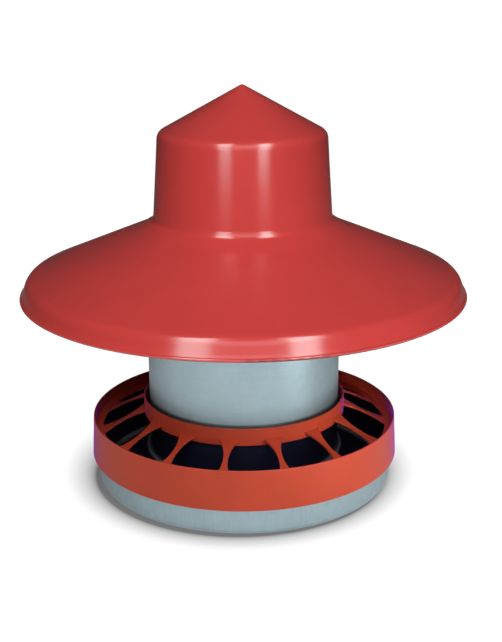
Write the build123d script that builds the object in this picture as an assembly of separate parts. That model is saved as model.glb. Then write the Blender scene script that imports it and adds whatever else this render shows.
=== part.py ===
from build123d import *
import os
from math import atan2, cos, degrees, sin, sqrt, tan

# Galvanized hopper feeder for poultry: a sheet steel tube stands over a round feed pan,
# a moulded grill ring snaps on the pan's rim, and a moulded rain hat rests on the tube.
# Millimetres, +Z up, the front is -Y. The origin is on the axis, in the plane of the floor.

# Sheet metal and fits
sheet = 0.6                     # galvanized sheet of the tube, the pan and the cone
bracket_sheet = 1.5             # strip of the three brackets
seat_gap = 0.2                  # between pieces that rest on each other along a curved line
riveted_gap = 0.05              # between curved sheets that rivets hold together

# Feed pan
pan_diameter = 311.4
pan_height = 53.6
pan_corner_radius = 5.0         # outside, between floor and wall
pan_curl_radius = 1.5
pan_curl_sweep = 200            # degrees that the rolled rim turns through
pan_centre_diameter = 224.0     # raised middle of the floor, which keeps the rivets off the ground
pan_centre_rise = 3.0
pan_step_run = 4.0              # sloping width between the raised middle and the standing ring

# Hopper tube
tube_diameter = 200.0
tube_length = 240.0
feed_gap = 24.4                 # from the raised floor up to the tube's lower edge
tube_curl_radius = 2.5          # rolled lower edge
tube_curl_sweep = 270
hem_depth = 8.0                 # upper edge, folded outwards and pressed flat
seam_width = 8.0                # folded lock seam at the back
seam_angle = 90.0

# Feed cone under the tube
cone_rise = 48.0                # from its flange to where the slopes would meet
cone_tip_radius = 8.0
cone_flange_width = 24.0
cone_bend_radius = 3.0

# Brackets between the pan and the tube
bracket_count = 3
first_bracket_angle = 30.0
bracket_width = 22.0
bracket_bend_radius = 3.0       # inside
bracket_foot_length = 24.0
bracket_leg_height = 84.0

# Rivets
rivet_shank_diameter = 4.0
rivet_head_diameter = 7.6
rivet_head_height = 1.6
rivet_play = 0.05               # all round the shank
tube_rivet_rise = 75.0          # above the bracket's foot
drill_length = 32.0             # longer than any stack of sheets that a rivet holds

# Grill ring
band_top_diameter = 319.4
band_bottom_diameter = 323.6
band_height = 40.6
band_wall = 1.8
rim_round = 0.8
ledge_drop = 12.9               # from the rim down to the ledge
ledge_thickness = 2.2
ledge_width = 8.0
collar_gap = 4.1                # between the collar and the tube
collar_wall = 2.0
collar_height = 17.6
collar_rise = 19.7              # of the collar's top above the band's rim
spoke_count = 15
spoke_thickness = 2.2
spoke_end_width = 18.6
spoke_waist_width = 4.6
spoke_drop = 11.0               # from the collar's top down to the spokes' upper face
spoke_tail = 2.0                # of a spoke's outer end, buried in the ledge
first_spoke_angle = -98.1
lug_count = 5                   # snap lugs that hold under the pan's rolled rim
lug_arc = 8.0
lug_height = 4.0
lug_grip = 1.2

# Rain hat
hat_wall = 2.5
hat_lip_diameter = 455.5        # over the bead
hat_bead_radius = 1.8           # round bead along the lip's lower edge
hat_lip_flare = 2.9
hat_lip_height = 6.2
hat_drop_height = 12.9          # short wall between the lip and the brim
hat_drop_taper = 4.4
hat_brim_rise = 47.5            # of the wide slope, from the brim's shoulder to its knee
hat_knee_reach = 6.3            # of the knee, out from the tube
hat_throat_rise = 9.8           # of the steeper slope that sits on the tube
crown_inset = 9.1               # of the crown's foot, in from the tube
crown_height = 86.1
crown_taper = 6.0
crown_cone_rise = 46.6
hat_lip_bend_radius = 2.0
hat_shoulder_radius = 14.0
hat_knee_radius = 60.0
crown_foot_radius = 9.5
crown_shoulder_radius = 10.0
hat_tip_radius = 5.0

# Places that follow from the sizes above
tube_radius = tube_diameter / 2
tube_bore_radius = tube_radius - sheet
pan_radius = pan_diameter / 2
pan_bore_radius = pan_radius - sheet
pan_floor_top = sheet
pan_centre_top = pan_centre_rise + sheet
tube_bottom = pan_centre_top + feed_gap
tube_top = tube_bottom + tube_length
hem_centre_height = tube_top - sheet
flange_top = pan_centre_top + sheet
foot_top = flange_top + bracket_sheet
bracket_outer_radius = tube_bore_radius - riveted_gap
bracket_inner_radius = bracket_outer_radius - bracket_sheet
cone_flange_radius = bracket_inner_radius - bracket_bend_radius
cone_foot_radius = cone_flange_radius - cone_flange_width
foot_rivet_radius = cone_flange_radius - bracket_foot_length / 2 + bracket_bend_radius
tube_rivet_height = flange_top + tube_rivet_rise
hole_radius = rivet_shank_diameter / 2 + rivet_play

band_top_radius = band_top_diameter / 2
band_bottom_radius = band_bottom_diameter / 2
ring_base = pan_height + seat_gap + ledge_thickness + ledge_drop - band_height
rim_top = ring_base + band_height
ledge_top = rim_top - ledge_drop
ledge_bottom = ledge_top - ledge_thickness
ledge_inner_radius = band_top_radius - band_wall - ledge_width
collar_inner_radius = tube_radius + collar_gap
collar_outer_radius = collar_inner_radius + collar_wall
collar_top = rim_top + collar_rise
collar_bottom = collar_top - collar_height
spoke_top = collar_top - spoke_drop

bracket_angles = [first_bracket_angle + 360 * n / bracket_count for n in range(bracket_count)]
spoke_angles = [first_spoke_angle + 360 * n / spoke_count for n in range(spoke_count)]
lug_angles = [360 * n / lug_count for n in range(lug_count)]


def turned(section, degrees_turned=360.0, start_angle=0.0):
    """Revolve a section drawn as radius and height, from start_angle, about the feeder's axis."""
    solid = revolve(Plane.XZ * section, Axis.Z, degrees_turned)
    return Rot(Z=start_angle) * solid


def sheet_section(thickness, side, *paths):
    """Section of a formed sheet: one face follows the paths, the other lies to their side."""
    section = Sketch()
    for path in paths:
        section += make_face(offset(path, thickness, side=side).edges())
    return section


def outline(*points):
    """Closed section with straight sides."""
    return make_face(Polyline(*points, close=True))


def rounded_at(section, points, radius):
    """Round those corners of a section that lie at the given points."""
    corners = [section.vertices().sort_by_distance((x, y, 0))[0] for x, y in points]
    return fillet(corners, radius)


def radius_at(height):
    """Outer radius of the band, which widens slightly towards its lower edge."""
    share = (height - ring_base) / band_height
    return band_bottom_radius + (band_top_radius - band_bottom_radius) * share


def cone_tip(foot_radius, foot_height, apex_height, tip_radius):
    """Tangent point and arc that round the point of a cone whose slopes meet at apex_height."""
    slope = atan2(apex_height - foot_height, foot_radius)
    centre_height = apex_height - tip_radius / cos(slope)
    tangent_point = (tip_radius * sin(slope), centre_height + tip_radius * cos(slope))
    arc = CenterArc((0, centre_height), tip_radius, 90 - degrees(slope), degrees(slope))
    return tangent_point, arc


def drilled(angle, radius, height, along_axis=True):
    """Hole for a rivet: along the feeder's axis, or straight out from it."""
    cutter = Cylinder(hole_radius, drill_length)
    if not along_axis:
        cutter = Rot(Y=90) * cutter
    return Rot(Z=angle) * Pos(radius, 0, height) * cutter


def make_feed_pan():
    """Drawn sheet pan: raised middle, standing ring, straight wall and rolled rim."""
    step_in = pan_centre_diameter / 2
    step_out = step_in + pan_step_run
    curl_centre = (pan_bore_radius + pan_curl_radius, pan_height - pan_curl_radius)
    raised_floor = Polyline(
        (0, pan_centre_top),
        (step_in, pan_centre_top),
        (step_out, pan_floor_top),
    )
    ring_and_wall = FilletPolyline(
        (step_out, pan_floor_top),
        (pan_bore_radius, pan_floor_top),
        (pan_bore_radius, curl_centre[1]),
        radius=[pan_corner_radius - sheet],
    )
    rolled_rim = CenterArc(curl_centre, pan_curl_radius, 180, -pan_curl_sweep)
    pan = turned(sheet_section(sheet, Side.RIGHT, raised_floor + ring_and_wall, rolled_rim))
    for angle in bracket_angles:
        pan -= drilled(angle, foot_rivet_radius, pan_centre_top)
    return pan


def make_hopper_tube():
    """Rolled sheet tube: hemmed upper edge, rolled lower edge and a lock seam at the back."""
    curl_centre = (tube_bore_radius + tube_curl_radius, tube_bottom + tube_curl_radius)
    hem_radius = tube_radius + sheet
    wall_and_hem = make_face((
        Line((tube_bore_radius, curl_centre[1]), (tube_bore_radius, hem_centre_height))
        + CenterArc((tube_radius, hem_centre_height), sheet, 0, 180)
        + Polyline(
            (hem_radius, hem_centre_height),
            (hem_radius, tube_top - hem_depth),
            (tube_radius, tube_top - hem_depth),
            (tube_radius, curl_centre[1]),
            (tube_bore_radius, curl_centre[1]),
        )
    ).edges())
    rolled_edge = CenterArc(curl_centre, tube_curl_radius, 180, tube_curl_sweep)
    tube = turned(wall_and_hem + sheet_section(sheet, Side.LEFT, rolled_edge))

    seam_arc = degrees(seam_width / tube_radius)
    seam_bottom = curl_centre[1] + tube_curl_radius + sheet
    seam_top = tube_top - hem_depth - sheet
    seam = outline(
        (tube_radius - sheet / 2, seam_bottom),
        (tube_radius + 2 * sheet, seam_bottom),
        (tube_radius + 2 * sheet, seam_top),
        (tube_radius - sheet / 2, seam_top),
    )
    tube += turned(seam, seam_arc, seam_angle - seam_arc / 2)
    for angle in bracket_angles:
        tube -= drilled(angle, tube_radius, tube_rivet_height, along_axis=False)
    return tube


def make_feed_cone():
    """Pressed cone that sheds the feed outwards, held down by the brackets' feet."""
    tangent_point, tip = cone_tip(
        cone_foot_radius, pan_centre_top, pan_centre_top + cone_rise, cone_tip_radius
    )
    flange_and_slope = FilletPolyline(
        (cone_flange_radius, pan_centre_top),
        (cone_foot_radius, pan_centre_top),
        tangent_point,
        radius=[cone_bend_radius],
    )
    cone = turned(sheet_section(sheet, Side.RIGHT, flange_and_slope + tip))
    for angle in bracket_angles:
        cone -= drilled(angle, foot_rivet_radius, pan_centre_top)
    return cone


def make_bracket(angle):
    """Bent strip: its foot lies on the cone's flange, its leg follows the tube's bore."""
    path = FilletPolyline(
        (bracket_outer_radius - bracket_foot_length, flange_top),
        (bracket_outer_radius, flange_top),
        (bracket_outer_radius, flange_top + bracket_leg_height),
        radius=[bracket_bend_radius + bracket_sheet],
    )
    arc = degrees(bracket_width / bracket_outer_radius)
    bracket = turned(sheet_section(bracket_sheet, Side.LEFT, path), arc, angle - arc / 2)
    bracket -= drilled(angle, foot_rivet_radius, flange_top)
    bracket -= drilled(angle, bracket_outer_radius, tube_rivet_height, along_axis=False)
    return bracket


def make_rivet(grip):
    """Rivet along +Z with a bevelled head beyond each end of its grip, which starts at zero."""
    head_radius = rivet_head_diameter / 2
    crown_radius = head_radius - rivet_head_height
    shank_radius = rivet_shank_diameter / 2
    return turned(outline(
        (0, -rivet_head_height),
        (crown_radius, -rivet_head_height),
        (head_radius, 0),
        (shank_radius, 0),
        (shank_radius, grip),
        (head_radius, grip),
        (crown_radius, grip + rivet_head_height),
        (0, grip + rivet_head_height),
    ))


def make_floor_rivet(angle):
    """Holds a bracket's foot and the cone's flange on the pan's floor."""
    place = Pos(foot_rivet_radius, 0, pan_centre_rise)
    return Rot(Z=angle) * place * make_rivet(foot_top - pan_centre_rise)


def make_tube_rivet(angle):
    """Holds a bracket's leg on the tube. Its inner head spans the leg's hollow side."""
    inner_seat = sqrt(bracket_inner_radius ** 2 - (rivet_head_diameter / 2) ** 2)
    place = Pos(inner_seat, 0, tube_rivet_height)
    return Rot(Z=angle) * place * Rot(Y=90) * make_rivet(tube_radius - inner_seat)


def make_spoke(web):
    """Hourglass strip cut from the sloping web, with its ends buried in collar and ledge."""
    waist_radius = (collar_outer_radius + ledge_inner_radius) / 2
    inner_end = collar_outer_radius - collar_wall / 2
    outer_end = ledge_inner_radius + spoke_tail
    half_end = spoke_end_width / 2
    half_waist = spoke_waist_width / 2

    def side(sign):
        flank = ThreePointArc(
            (collar_outer_radius, sign * half_end),
            (waist_radius, sign * half_waist),
            (ledge_inner_radius, sign * half_end),
        )
        inner_tail = Line((inner_end, sign * half_end), (collar_outer_radius, sign * half_end))
        outer_tail = Line((ledge_inner_radius, sign * half_end), (outer_end, sign * half_end))
        return inner_tail + flank + outer_tail

    inner_close = Line((inner_end, -half_end), (inner_end, half_end))
    outer_close = Line((outer_end, -half_end), (outer_end, half_end))
    plan = make_face((side(1) + side(-1) + inner_close + outer_close).edges())
    return extrude(plan, collar_top) & web


def make_grill_ring():
    """One moulding: tapered band, ledge over the pan's rim, spokes, collar and snap lugs."""
    rim = [(band_top_radius, rim_top), (band_top_radius - band_wall, rim_top)]
    foot = [(band_bottom_radius, ring_base), (band_bottom_radius - band_wall, ring_base)]
    band_section = outline(
        foot[0],
        rim[0],
        rim[1],
        (radius_at(ledge_top) - band_wall, ledge_top),
        (ledge_inner_radius, ledge_top),
        (ledge_inner_radius, ledge_bottom),
        (radius_at(ledge_bottom) - band_wall, ledge_bottom),
        foot[1],
    )
    ring = turned(rounded_at(band_section, rim, rim_round))

    collar_edge = [(collar_outer_radius, collar_top), (collar_inner_radius, collar_top)]
    collar_section = outline(
        (collar_inner_radius, collar_bottom),
        (collar_outer_radius, collar_bottom),
        *collar_edge,
    )
    ring += turned(rounded_at(collar_section, collar_edge, rim_round))

    slope = (spoke_top - ledge_top) / (ledge_inner_radius - collar_outer_radius)
    web_inner = collar_outer_radius - collar_wall
    web_inner_top = spoke_top + slope * collar_wall
    web = turned(outline(
        (web_inner, web_inner_top - spoke_thickness),
        (ledge_inner_radius, ledge_top - spoke_thickness),
        (ledge_inner_radius + ledge_width, ledge_top - spoke_thickness),
        (ledge_inner_radius + ledge_width, ledge_top),
        (ledge_inner_radius, ledge_top),
        (web_inner, web_inner_top),
    ))
    spoke = make_spoke(web)
    ring += [Rot(Z=angle) * spoke for angle in spoke_angles]

    lug_top = pan_height - 2 * pan_curl_radius - seat_gap
    lug_root = radius_at(lug_top) - band_wall / 2
    lug_tip = pan_bore_radius + 2 * pan_curl_radius - lug_grip
    lug = turned(outline(
        (lug_root, lug_top),
        (lug_tip, lug_top),
        (lug_root, lug_top - lug_height),
    ), lug_arc, -lug_arc / 2)
    ring += [Rot(Z=angle) * lug for angle in lug_angles]
    return ring


def make_rain_hat():
    """One moulded shell, seated with its steep inner slope on the tube's hem."""
    lip_radius = hat_lip_diameter / 2
    bead_centre_radius = lip_radius - hat_bead_radius
    corner_radius = lip_radius - hat_lip_flare
    shoulder_radius = corner_radius - hat_drop_taper
    knee_radius = tube_radius + hat_knee_reach
    crown_foot = tube_radius - crown_inset
    crown_top_radius = crown_foot - crown_taper

    # The throat's underside lies a seat gap off the rounded hem of the tube
    throat_slope = atan2(hat_throat_rise, knee_radius - crown_foot)
    knee_height = (
        hem_centre_height
        - tan(throat_slope) * (knee_radius - tube_radius)
        + (hat_wall + seat_gap + sheet) / cos(throat_slope)
    )
    shoulder_height = knee_height - hat_brim_rise
    corner_height = shoulder_height - hat_drop_height
    bead_centre_height = corner_height - hat_lip_height + hat_bead_radius
    crown_foot_height = knee_height + hat_throat_rise
    crown_top_height = crown_foot_height + crown_height

    tangent_point, tip = cone_tip(
        crown_top_radius, crown_top_height, crown_top_height + crown_cone_rise, hat_tip_radius
    )
    skin = FilletPolyline(
        (bead_centre_radius + hat_wall / 2, bead_centre_height),
        (corner_radius, corner_height),
        (shoulder_radius, shoulder_height),
        (knee_radius, knee_height),
        (crown_foot, crown_foot_height),
        (crown_top_radius, crown_top_height),
        tangent_point,
        radius=[
            hat_lip_bend_radius,
            hat_shoulder_radius,
            hat_knee_radius,
            crown_foot_radius,
            crown_shoulder_radius,
        ],
    )
    bead = Pos(bead_centre_radius, bead_centre_height) * Circle(hat_bead_radius)
    return turned(sheet_section(hat_wall, Side.LEFT, skin + tip) + bead)


def make_pieces():
    """Every piece by its name."""
    pieces = {
        "feed_pan": make_feed_pan(),
        "feed_cone": make_feed_cone(),
        "hopper_tube": make_hopper_tube(),
        "grill_ring": make_grill_ring(),
        "rain_hat": make_rain_hat(),
    }
    for number, angle in enumerate(bracket_angles, start=1):
        pieces[f"bracket_{number}"] = make_bracket(angle)
        pieces[f"floor_rivet_{number}"] = make_floor_rivet(angle)
        pieces[f"tube_rivet_{number}"] = make_tube_rivet(angle)
    return pieces


def main():
    os.makedirs("parts", exist_ok=True)
    for name, piece in make_pieces().items():
        piece.label = name
        export_step(piece, os.path.join("parts", f"{name}.step"))


if __name__ == "__main__":
    main()
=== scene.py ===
from math import atan2, cos, pi, radians, sin

import bpy
from mathutils import Matrix, Vector

# Looks of the galvanized hopper feeder: finishes, camera, lights and floor.
# Metres, +Z up. The front is -Y, the right is +X.

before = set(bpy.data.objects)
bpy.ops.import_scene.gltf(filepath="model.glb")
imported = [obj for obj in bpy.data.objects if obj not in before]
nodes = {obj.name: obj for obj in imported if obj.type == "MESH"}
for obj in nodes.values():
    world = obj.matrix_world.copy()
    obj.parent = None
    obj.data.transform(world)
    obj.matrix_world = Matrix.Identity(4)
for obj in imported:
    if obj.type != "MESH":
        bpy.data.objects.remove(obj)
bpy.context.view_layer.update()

# Camera, fitted to the circles of the hat, the ring and the pan in the photograph
IMAGE_HEIGHT = 642
SENSOR = 36.0                       # millimetres, along the image's height
CAMERA_PLACE = (0.0, -1.1167, 0.5210)
CAMERA_PITCH = 17.644               # degrees below the horizon
CAMERA_ROLL = 0.338                 # the object's right side stands slightly high
FOCAL_PIXELS = 1121.14
AXIS_OFFSET_PIXELS = 7.55           # the feeder's axis lies this far left of the image's centre

# Lamps that light the object. Azimuths are measured from the front, + to the right.
# With no spread given, the strength is what a lamp gives a surface at its aim that faces it.
# Aside is how far to the right of the feeder's axis the lamp shines.
LAMPS = {
    "front": dict(
        azimuth=4, elevation=38, distance=1.8, width=1.1, height=0.9, aim=0.22, strength=2.9,
    ),
    "low_right": dict(
        azimuth=56, elevation=4, distance=0.8, width=0.3, height=0.16, aim=0.03, strength=0.095,
        spread=40,
    ),
    "low_left": dict(
        azimuth=-75, elevation=4, distance=0.8, width=0.3, height=0.16, aim=0.03, strength=0.03,
        spread=40,
    ),
    "under_brim": dict(
        azimuth=-6, elevation=11, distance=1.0, width=0.06, height=0.03, aim=0.085, strength=0.006,
        spread=14, aside=0.13,
    ),
}
# Cards that only reflections see. Their glow is what a mirror would show.
CARDS = {
    "between_strips": dict(
        azimuth=3, elevation=28, distance=2.1, width=1.1, height=1.9, aim=0.25, glow=0.6,
    ),
    "low_card": dict(
        azimuth=57, elevation=-12, distance=0.5, width=0.25, height=0.12, aim=0.14, glow=1.2,
    ),
}
# Two strip lights, also for reflections only, that rise in front of the feeder and lean over it.
# Each is a row of panels along these points, given as y and z.
STRIP_POINTS = [(-1.66, 0.29), (-1.36, 1.30), (-0.88, 1.92), (-0.70, 2.01)]
STRIPS = {
    "left": dict(width=0.50, sideways=(-0.67, -0.62, -0.53), glows=(4.9, 6.6, 8.5)),
    "right": dict(width=0.48, sideways=(0.84, 0.80, 0.69), glows=(6.5, 8.2, 9.5)),
}
STRIP_TINT = (0.76, 1.0, 1.0)       # keeps their highlights on the red plastic from going pink
WHITE = (1.0, 1.0, 1.0)

# Surroundings
FLOOR_SIZE = 12.0
FLOOR_COLOUR = (0.50, 0.50, 0.51)
SHADOW_CENTRE = (-0.004, -0.003, 0.0)
SHADOW_RADIUS = 0.155               # the floor grows brighter from here on
SHADOW_END = 0.213
SHADOW_CURVE = 0.42                 # quickly at first, then slowly
SHADOW_DEPTH = 0.13                 # its level under the pan's edge
# What glossy surfaces see of the floor: close by it darkens towards the back and the left
CLOSE_RADIUS = 0.22
OPEN_RADIUS = 0.34
CLOSE_DIRECTION = (0.35, -1.0, 0.0)
CLOSE_DARK_AT = -0.10               # along that direction
CLOSE_BRIGHT_AT = 0.14
CLOSE_DARK = 0.15
CLOSE_BRIGHT = 0.68
OPEN_GLOW = 0.86                    # further out, until it fades
FADE_RADIUS = 0.9
FADE_END = 1.5
FADE_FRONT = -0.30                  # also towards the back
FADE_BACK = 0.60
AMBIENT = 0.07
STUDIO_DARK = 0.04                  # what glossy surfaces see of the studio around the table

# Colours, linear
HAT_RED = (0.62, 0.055, 0.050)
RING_ORANGE = (0.45, 0.051, 0.021)
RING_SHEEN = (0.30, 0.02, 1.0)
ZINC = (0.345, 0.455, 0.490)
PAINTED_SHADE_ZINC = (0.036, 0.040, 0.095)   # painted shade: zinc sheet darkened inside the pan
RIVET_GREY = (0.50, 0.52, 0.53)

# How much lighter or darker each pattern makes a finish, as levels around one
HAT_CLOUDS = (0.97, 1.03)
HAT_SMEARS = (0.98, 1.02)
RING_CLOUDS = (0.94, 1.05)
RING_SPECKS = (0.97, 1.03)
ZINC_SPANGLES = (0.97, 1.03)
ZINC_CLOUDS = (0.94, 1.05)
ZINC_LINES = (0.93, 1.06)
RIVET_DULLING = (0.85, 1.10)

# Roughness, from where a pattern is smoothest to where it is roughest
HAT_ROUGHNESS = (0.155, 0.195)
RING_ROUGHNESS = (0.40, 0.50)
TUBE_ROUGHNESS = (0.32, 0.42)
PAN_ROUGHNESS = (0.36, 0.48)
FEED_SIDE_ROUGHNESS = (0.38, 0.52)  # the cone and the brackets
RIVET_ROUGHNESS = (0.30, 0.50)
BRIM_DULLING = 0.075                # added on the brim's long slope
CORNER_POLISH = 0.24                # taken off in the pan's inner corner

# A noise pattern's usual lowest and highest values
NOISE_LOW = 0.3
NOISE_HIGH = 0.7
# How a noise pattern is drawn out into fine lines, round the tube or up the other sheets
LINES_AROUND = (25, 25, 1400)
LINES_UPRIGHT = (900, 900, 12)

# The brim's long slope is duller than the rest of the hat, between these distances from the axis
BRIM_SLOPE_START = 0.104
BRIM_SLOPE_END = 0.200
BRIM_SLOPE_EDGE = 0.024
# The round bead along the hat's lip: its centre line, and how far its surface is from there
BEAD_RADIUS = 0.22595
BEAD_HEIGHT = 0.2025
BEAD_REACH = 0.00185
# Where painted shade darkens the tube's sheet: from its rolled edge up to the ring's collar
SHADE_TOP = 0.076
SHADE_EDGE = 0.003
ROLLED_EDGE = 0.034
# The pan's inner corner, which the painted shade leaves out, so it stays bright
PAN_CORNER_RADIUS = 0.1505
PAN_CORNER_HEIGHT = 0.0052
# A face of the pan counts as inside where it faces the axis or up by more than this
FACING_MARGIN = 0.1


class Graph:
    """A node tree being made, with short calls for what it needs."""

    def __init__(self, tree):
        self.tree = tree

    def add(self, kind, **settings):
        made = self.tree.nodes.new(kind)
        for setting, value in settings.items():
            setattr(made, setting, value)
        return made

    def feed(self, value, socket):
        """Join another node's output to a socket, or give the socket a plain value."""
        if isinstance(value, bpy.types.NodeSocket):
            self.tree.links.new(value, socket)
        else:
            socket.default_value = value

    def math(self, operation, first, second):
        made = self.add("ShaderNodeMath", operation=operation)
        self.feed(first, made.inputs[0])
        self.feed(second, made.inputs[1])
        return made.outputs["Value"]

    def vector(self, operation, first, second):
        made = self.add("ShaderNodeVectorMath", operation=operation)
        self.feed(first, made.inputs[0])
        self.feed(second, made.inputs[1])
        return made.outputs["Vector"]

    def unit(self, vector):
        made = self.add("ShaderNodeVectorMath", operation="NORMALIZE")
        self.feed(vector, made.inputs[0])
        return made.outputs["Vector"]

    def length(self, vector):
        made = self.add("ShaderNodeVectorMath", operation="LENGTH")
        self.feed(vector, made.inputs[0])
        return made.outputs["Value"]

    def dot(self, first, second):
        made = self.add("ShaderNodeVectorMath", operation="DOT_PRODUCT")
        self.feed(first, made.inputs[0])
        self.feed(second, made.inputs[1])
        return made.outputs["Value"]

    def part_of(self, vector, axis):
        made = self.add("ShaderNodeSeparateXYZ")
        self.feed(vector, made.inputs["Vector"])
        return made.outputs[axis]

    def ranged(self, value, starts, ends, low, high, curve="LINEAR"):
        """The value's stretch from starts to ends, mapped to low to high and held outside it."""
        made = self.add("ShaderNodeMapRange", interpolation_type=curve)
        made.inputs["From Min"].default_value = starts
        made.inputs["From Max"].default_value = ends
        self.feed(low, made.inputs["To Min"])
        self.feed(high, made.inputs["To Max"])
        self.feed(value, made.inputs["Value"])
        return made.outputs["Result"]

    def scaled(self, vector, level):
        """The colour or vector, times a plain number."""
        made = self.add("ShaderNodeVectorMath", operation="SCALE")
        self.feed(vector, made.inputs[0])
        self.feed(level, made.inputs["Scale"])
        return made.outputs["Vector"]

    def ray(self, kind):
        """One for rays of that kind, zero for all others."""
        return self.add("ShaderNodeLightPath").outputs[f"Is {kind} Ray"]


class Finish(Graph):
    """A material on the principled shader."""

    def __init__(self, name):
        self.material = bpy.data.materials.new(name)
        self.material.use_nodes = True
        super().__init__(self.material.node_tree)
        self.shader = self.tree.nodes["Principled BSDF"]
        self.place = self.add("ShaderNodeTexCoord").outputs["Object"]
        geometry = self.add("ShaderNodeNewGeometry")
        self.facing = geometry.outputs["True Normal"]
        self.smooth = geometry.outputs["Normal"]

    def set(self, **values):
        """Values for the shader's own sockets, by their names."""
        for name, value in values.items():
            self.feed(value, self.shader.inputs[name.replace("_", " ")])

    def noise(self, scale, detail=3.0, stretch=(1, 1, 1)):
        """A soft random pattern."""
        mapping = self.add("ShaderNodeMapping")
        mapping.inputs["Scale"].default_value = stretch
        self.feed(self.place, mapping.inputs["Vector"])
        made = self.add("ShaderNodeTexNoise")
        made.inputs["Scale"].default_value = scale
        made.inputs["Detail"].default_value = detail
        self.feed(mapping.outputs["Vector"], made.inputs["Vector"])
        return made.outputs["Fac"]

    def cells(self, scale):
        """A random grey for each crystal-like cell."""
        made = self.add("ShaderNodeTexVoronoi")
        made.inputs["Scale"].default_value = scale
        self.feed(self.place, made.inputs["Vector"])
        return self.part_of(made.outputs["Color"], "X")

    def varied(self, pattern, low, high):
        """A noise pattern, brought to a range of values."""
        return self.ranged(pattern, NOISE_LOW, NOISE_HIGH, low, high)

    def blend(self, share, first, second):
        """The first colour where the share is zero, the second where it is one."""
        span = self.vector("SUBTRACT", second, first)
        return self.vector("ADD", first, self.scaled(span, share))

    def bump(self, height, strength, distance, below=None):
        made = self.add("ShaderNodeBump")
        made.inputs["Strength"].default_value = strength
        made.inputs["Distance"].default_value = distance
        self.feed(height, made.inputs["Height"])
        if below is not None:
            self.feed(below, made.inputs["Normal"])
        return made.outputs["Normal"]


def from_axis(finish):
    """Distance from the feeder's axis."""
    return finish.length(finish.vector("MULTIPLY", finish.place, (1, 1, 0)))


def on_brim(finish):
    """One on the brim's long slope, zero on the crown and on the brim's shoulder."""
    radius = from_axis(finish)
    foot_edge = BRIM_SLOPE_START + BRIM_SLOPE_EDGE
    far_edge = BRIM_SLOPE_END - BRIM_SLOPE_EDGE
    past_foot = finish.ranged(radius, BRIM_SLOPE_START, foot_edge, 0, 1, curve="SMOOTHSTEP")
    past_end = finish.ranged(radius, far_edge, BRIM_SLOPE_END, 0, 1, curve="SMOOTHSTEP")
    return finish.math("SUBTRACT", past_foot, past_end)


def lip_normal(finish):
    """The bead's own round normal on its facets along the hat's lip, the mesh's normal elsewhere."""
    outwards = finish.unit(finish.vector("MULTIPLY", finish.place, (1, 1, 0)))
    centre = finish.vector("ADD", finish.scaled(outwards, BEAD_RADIUS), (0, 0, BEAD_HEIGHT))
    from_centre = finish.vector("SUBTRACT", finish.place, centre)
    on_bead = finish.math("LESS_THAN", finish.length(from_centre), BEAD_REACH)
    return finish.unit(finish.blend(on_bead, finish.smooth, finish.unit(from_centre)))


def hat_plastic():
    """Glossy moulded plastic, faintly uneven, with dull smears and fine scratches."""
    finish = Finish("hat_plastic_finish")
    smears = finish.noise(scale=9, detail=5)
    clouds = finish.noise(scale=22)
    scratches = finish.noise(scale=60, detail=2, stretch=(1, 1, 14))
    grain = finish.noise(scale=900, detail=2)
    level = finish.varied(clouds, *HAT_CLOUDS)
    level = finish.math("MULTIPLY", level, finish.varied(smears, *HAT_SMEARS))
    dulling = finish.math("MULTIPLY", on_brim(finish), BRIM_DULLING)
    skin = finish.bump(grain, strength=0.05, distance=0.0002, below=lip_normal(finish))
    skin = finish.bump(scratches, strength=0.03, distance=0.0002, below=skin)
    finish.set(
        Base_Color=finish.scaled(HAT_RED, level),
        Roughness=finish.math("ADD", finish.varied(smears, *HAT_ROUGHNESS), dulling),
        Normal=skin,
        IOR=1.7,
    )
    return finish.material


def ring_plastic():
    """Matt moulded plastic with a fine spark-eroded grain."""
    finish = Finish("ring_plastic_finish")
    clouds = finish.noise(scale=30, detail=4)
    specks = finish.noise(scale=700, detail=2)
    level = finish.varied(clouds, *RING_CLOUDS)
    level = finish.math("MULTIPLY", level, finish.varied(specks, *RING_SPECKS))
    finish.set(
        Base_Color=finish.scaled(RING_ORANGE, level),
        Roughness=finish.varied(clouds, *RING_ROUGHNESS),
        Normal=finish.bump(specks, strength=0.15, distance=0.0002),
        Specular_IOR_Level=0.28,
        Sheen_Weight=0.75,
        Sheen_Roughness=0.22,
        Sheen_Tint=(*RING_SHEEN, 1.0),
    )
    return finish.material


def painted_shade_on_tube(finish):
    """Painted shade: one on the tube between its rolled edge and the ring's collar."""
    height = finish.part_of(finish.place, "Z")
    below_level = finish.ranged(height, SHADE_TOP - SHADE_EDGE, SHADE_TOP + SHADE_EDGE, 1, 0)
    above_edge = finish.ranged(height, ROLLED_EDGE - SHADE_EDGE / 2, ROLLED_EDGE, 0, 1)
    return finish.math("MULTIPLY", below_level, above_edge)


def pan_corner(finish):
    """One in the pan's inner corner, zero elsewhere on its inside."""
    height = finish.part_of(finish.place, "Z")
    outside = finish.math("GREATER_THAN", from_axis(finish), PAN_CORNER_RADIUS)
    return finish.math("MULTIPLY", outside, finish.math("LESS_THAN", height, PAN_CORNER_HEIGHT))


def painted_shade_on_pan(finish):
    """Painted shade: one on the pan's floor and inner wall, zero on its outside and in its inner
    corner.
    """
    outwards = finish.unit(finish.vector("MULTIPLY", finish.place, (1, 1, 0)))
    out_and_down = finish.vector("SUBTRACT", outwards, (0, 0, 1))
    facing_out = finish.dot(finish.facing, out_and_down)
    inside = finish.ranged(facing_out, -FACING_MARGIN, FACING_MARGIN, 1, 0)
    return finish.math("MULTIPLY", inside, finish.math("SUBTRACT", 1, pan_corner(finish)))


def painted_shade_all_over(finish):
    """Painted shade: one all over, for the pieces that sit inside the pan."""
    return 1.0


def nowhere(finish):
    """Zero all over, for pieces with no polished place."""
    return 0.0


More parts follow.
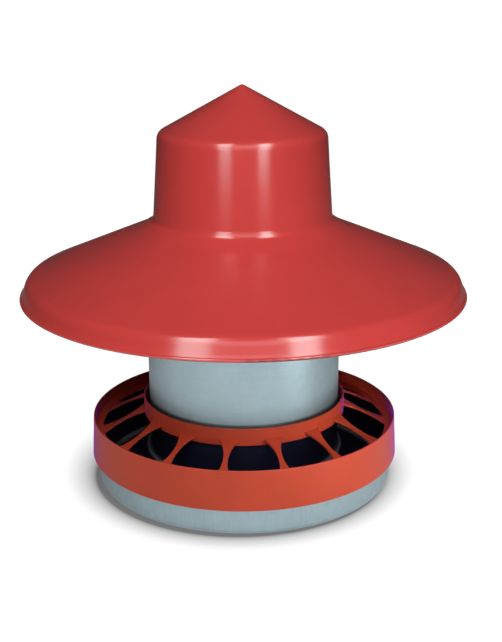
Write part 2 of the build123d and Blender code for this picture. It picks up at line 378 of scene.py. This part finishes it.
def galvanized(name, line_stretch, roughness, painted_shade_where, polished_where=nowhere):
    """Zinc coated sheet, with faint spangles and the fine lines of rolling and drawing, and painted
    shade inside the pan.
    """
    finish = Finish(name)
    spangles = finish.cells(scale=150)
    clouds = finish.noise(scale=14, detail=4)
    lines = finish.noise(scale=1, detail=4, stretch=line_stretch)
    level = finish.ranged(spangles, 0, 1, *ZINC_SPANGLES)
    level = finish.math("MULTIPLY", level, finish.varied(clouds, *ZINC_CLOUDS))
    level = finish.math("MULTIPLY", level, finish.varied(lines, *ZINC_LINES))
    # Painted shade: the sheet turns dark navy where the shade mask is one.
    colour = finish.blend(painted_shade_where(finish), ZINC, PAINTED_SHADE_ZINC)
    polish = finish.math("MULTIPLY", polished_where(finish), CORNER_POLISH)
    finish.set(
        Base_Color=finish.scaled(colour, level),
        Roughness=finish.math("SUBTRACT", finish.varied(lines, *roughness), polish),
        Normal=finish.bump(lines, strength=0.10, distance=0.0003),
        Metallic=0.85,
    )
    return finish.material


def rivet_steel():
    """Plain plated steel, slightly dulled."""
    finish = Finish("rivet_steel_finish")
    dulling = finish.noise(scale=400)
    finish.set(
        Base_Color=finish.scaled(RIVET_GREY, finish.varied(dulling, *RIVET_DULLING)),
        Roughness=finish.varied(dulling, *RIVET_ROUGHNESS),
        Normal=finish.bump(dulling, strength=0.2, distance=0.0002),
        Metallic=1.0,
    )
    return finish.material


def dress(finish, *names):
    """Put one finish on the named CAD nodes."""
    for name in names:
        for slot in nodes[name].material_slots:
            slot.link = "OBJECT"
            slot.material = finish


def dress_all():
    """Put each piece's finish on it."""
    tube_sheet = galvanized("tube_sheet_finish", LINES_AROUND, TUBE_ROUGHNESS, painted_shade_on_tube)
    pan_sheet = galvanized(
        "pan_sheet_finish", LINES_UPRIGHT, PAN_ROUGHNESS, painted_shade_on_pan, polished_where=pan_corner
    )
    cone_sheet = galvanized("cone_sheet_finish", LINES_UPRIGHT, FEED_SIDE_ROUGHNESS, painted_shade_all_over)
    bracket_sheet = galvanized("bracket_finish", LINES_UPRIGHT, FEED_SIDE_ROUGHNESS, painted_shade_all_over)
    brackets = [name for name in nodes if name.startswith("bracket_")]
    rivets = [name for name in nodes if "rivet" in name]
    dress(hat_plastic(), "rain_hat")
    dress(ring_plastic(), "grill_ring")
    dress(tube_sheet, "hopper_tube")
    dress(pan_sheet, "feed_pan")
    dress(cone_sheet, "feed_cone")
    dress(bracket_sheet, *brackets)
    dress(rivet_steel(), *rivets)


def make_camera():
    """The photograph's camera."""
    data = bpy.data.cameras.new("camera")
    data.sensor_width = SENSOR
    data.lens = FOCAL_PIXELS * SENSOR / IMAGE_HEIGHT
    data.shift_x = AXIS_OFFSET_PIXELS / IMAGE_HEIGHT
    camera = bpy.data.objects.new("camera", data)
    tilt = Matrix.Rotation(radians(90 - CAMERA_PITCH), 4, "X")
    roll = Matrix.Rotation(radians(-CAMERA_ROLL), 4, "Z")
    camera.matrix_world = Matrix.Translation(CAMERA_PLACE) @ tilt @ roll
    bpy.context.scene.collection.objects.link(camera)
    bpy.context.scene.camera = camera


def hang_panel(name, matrix, width, height, power, spread=180):
    """A rectangular lamp, width across and height along its own Y, that shines along its own -Z."""
    data = bpy.data.lights.new(name, "AREA")
    data.shape = "RECTANGLE"
    data.size = width
    data.size_y = height
    data.energy = power
    data.spread = radians(spread)
    panel = bpy.data.objects.new(name, data)
    panel.matrix_world = matrix
    bpy.context.scene.collection.objects.link(panel)
    return panel


def facing_axis(azimuth, elevation, distance, aim, aside=0.0):
    """Place of a panel that faces the feeder's axis, or a line aside of it, at its aim's height."""
    level = cos(radians(elevation))
    direction = Vector((
        sin(radians(azimuth)) * level,
        -cos(radians(azimuth)) * level,
        sin(radians(elevation)),
    ))
    turn = direction.to_track_quat("Z", "Y").to_matrix().to_4x4()
    return Matrix.Translation(Vector((aside, 0, aim)) + direction * distance) @ turn


def hang_lamp(
    name, azimuth, elevation, distance, width, height, aim, strength, spread=180, aside=0.0
):
    """A lamp that lights the object and isn't mirrored."""
    place = facing_axis(azimuth, elevation, distance, aim, aside)
    power = strength * pi * distance ** 2
    panel = hang_panel(name, place, width, height, power, spread)
    panel.visible_glossy = False


def show_card(name, place, width, height, glow, tint=WHITE):
    """A panel that is mirrored and doesn't light the object."""
    power = glow * pi * width * height
    panel = hang_panel(name, place, width, height, power)
    panel.data.color = tint
    panel.visible_diffuse = False
    panel.visible_camera = False


def hang_card(name, azimuth, elevation, distance, width, height, aim, glow):
    """A mirrored panel that faces the feeder's axis."""
    show_card(name, facing_axis(azimuth, elevation, distance, aim), width, height, glow)


def hang_strip(side, width, sideways, glows):
    """A row of panels along the strip's points, each facing the feeder."""
    ends = zip(STRIP_POINTS, STRIP_POINTS[1:])
    for number, ((low, high), x, glow) in enumerate(zip(ends, sideways, glows), start=1):
        start, end = Vector((x, *low)), Vector((x, *high))
        along = end - start
        turn = Matrix.Rotation(atan2(along.z, along.y), 4, "X")
        place = Matrix.Translation((start + end) / 2) @ turn
        show_card(f"strip_{side}_{number}", place, width, along.length, glow, STRIP_TINT)


def make_lights():
    """Hang the lamps, the cards and the two strip lights."""
    for name, lamp in LAMPS.items():
        hang_lamp(name, **lamp)
    for name, card in CARDS.items():
        hang_card(name, **card)
    for side, strip in STRIPS.items():
        hang_strip(side, **strip)


def make_world():
    """White to the camera, dark in reflections, and a low even fill."""
    world = bpy.data.worlds.new("studio")
    world.use_nodes = True
    graph = Graph(world.node_tree)
    graph.tree.nodes.clear()
    unseen = graph.ranged(graph.ray("Glossy"), 0, 1, AMBIENT, STUDIO_DARK)
    background = graph.add("ShaderNodeBackground")
    graph.feed(graph.math("MAXIMUM", graph.ray("Camera"), unseen), background.inputs["Strength"])
    background.inputs["Color"].default_value = (*WHITE, 1.0)
    output = graph.add("ShaderNodeOutputWorld")
    graph.feed(background.outputs["Background"], output.inputs["Surface"])
    bpy.context.scene.world = world


def floor_finish():
    """White table: it glows to the camera but for the shadow's ring, and to reflections in front."""
    material = bpy.data.materials.new("floor_finish")
    material.use_nodes = True
    graph = Graph(material.node_tree)
    graph.tree.nodes.clear()
    place = graph.add("ShaderNodeTexCoord").outputs["Object"]
    from_shadow = graph.length(graph.vector("SUBTRACT", place, SHADOW_CENTRE))
    rise = graph.ranged(from_shadow, SHADOW_RADIUS, SHADOW_END, 0, 1)
    off_shadow = graph.math("MAXIMUM", graph.math("POWER", rise, SHADOW_CURVE), SHADOW_DEPTH)
    seen = graph.math("MULTIPLY", graph.ray("Camera"), off_shadow)
    radius = graph.length(place)
    close = graph.ranged(
        graph.dot(place, CLOSE_DIRECTION), CLOSE_DARK_AT, CLOSE_BRIGHT_AT, CLOSE_DARK, CLOSE_BRIGHT
    )
    level = graph.ranged(radius, CLOSE_RADIUS, OPEN_RADIUS, close, OPEN_GLOW)
    nearby = graph.ranged(radius, FADE_RADIUS, FADE_END, 1, 0, curve="SMOOTHSTEP")
    in_front = graph.ranged(
        graph.part_of(place, "Y"), FADE_FRONT, FADE_BACK, 1, 0, curve="SMOOTHSTEP"
    )
    level = graph.math("MULTIPLY", level, graph.math("MULTIPLY", nearby, in_front))
    mirrored = graph.math("MULTIPLY", graph.ray("Glossy"), level)
    paint = graph.add("ShaderNodeBsdfDiffuse")
    graph.feed(graph.scaled(FLOOR_COLOUR, off_shadow), paint.inputs["Color"])
    glow = graph.add("ShaderNodeEmission")
    graph.feed(graph.math("MAXIMUM", seen, mirrored), glow.inputs["Strength"])
    both = graph.add("ShaderNodeAddShader")
    graph.feed(paint.outputs["BSDF"], both.inputs[0])
    graph.feed(glow.outputs["Emission"], both.inputs[1])
    output = graph.add("ShaderNodeOutputMaterial")
    graph.feed(both.outputs["Shader"], output.inputs["Surface"])
    return material


def make_floor():
    """A square table top at height zero."""
    half = FLOOR_SIZE / 2
    corners = [(-half, -half, 0), (half, -half, 0), (half, half, 0), (-half, half, 0)]
    mesh = bpy.data.meshes.new("floor")
    mesh.from_pydata(corners, [], [(0, 1, 2, 3)])
    mesh.materials.append(floor_finish())
    floor = bpy.data.objects.new("floor", mesh)
    bpy.context.scene.collection.objects.link(floor)


dress_all()
make_camera()
make_lights()
make_world()
make_floor()
bpy.context.scene.view_settings.view_transform = "Standard"
